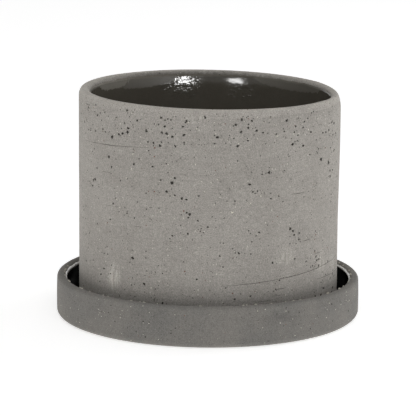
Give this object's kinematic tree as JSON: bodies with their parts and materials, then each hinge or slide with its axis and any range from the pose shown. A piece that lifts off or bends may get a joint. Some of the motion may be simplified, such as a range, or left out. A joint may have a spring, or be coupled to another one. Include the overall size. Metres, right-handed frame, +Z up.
{
  "type": "self watering planter",
  "caption": "Cylindrical raw stoneware plant pot, glazed dark inside, standing in a shallow glazed saucer that feeds water up through a felt wick.",
  "frame": {"origin": "on the axis of the pot and saucer, at the level of the surface that the saucer's pads rest on", "axes": "+Z up along the axis of the pot and saucer, -Y towards the viewer at the front, +X to the right"},
  "size_m": [0.1876, 0.1876, 0.1415],
  "materials": {
    "raw_stoneware": "matt unglazed grogged stoneware, grey with dark pits and pale grains",
    "raw_stoneware_saucer": "matt unglazed stoneware, a darker grey, few pits",
    "dark_glaze": "glossy brown-black glaze",
    "black_rubber": "matt moulded rubber",
    "wick_felt": "undyed wool felt",
    "pad_felt": "dark grey pressed felt"
  },
  "bodies": {
    "saucer": {"saucer_body": "raw_stoneware_saucer", "saucer_glaze": "dark_glaze", "saucer_pad_1": "pad_felt", "saucer_pad_2": "pad_felt", "saucer_pad_3": "pad_felt", "saucer_pad_4": "pad_felt"},
    "pot": {"pot_body": "raw_stoneware", "pot_glaze": "dark_glaze", "drain_grommet": "black_rubber"},
    "wick": {"felt_wick": "wick_felt"}
  },
  "joints": [
    {"name": "pot_lift", "type": "slide", "parent": "saucer", "child": "pot", "axis": [0, 0, 1], "range_m": [0, 0.05]},
    {"name": "wick_pull", "type": "slide", "parent": "pot", "child": "wick", "axis": [0, 0, 1], "range_m": [0, 0.14]}
  ]
}
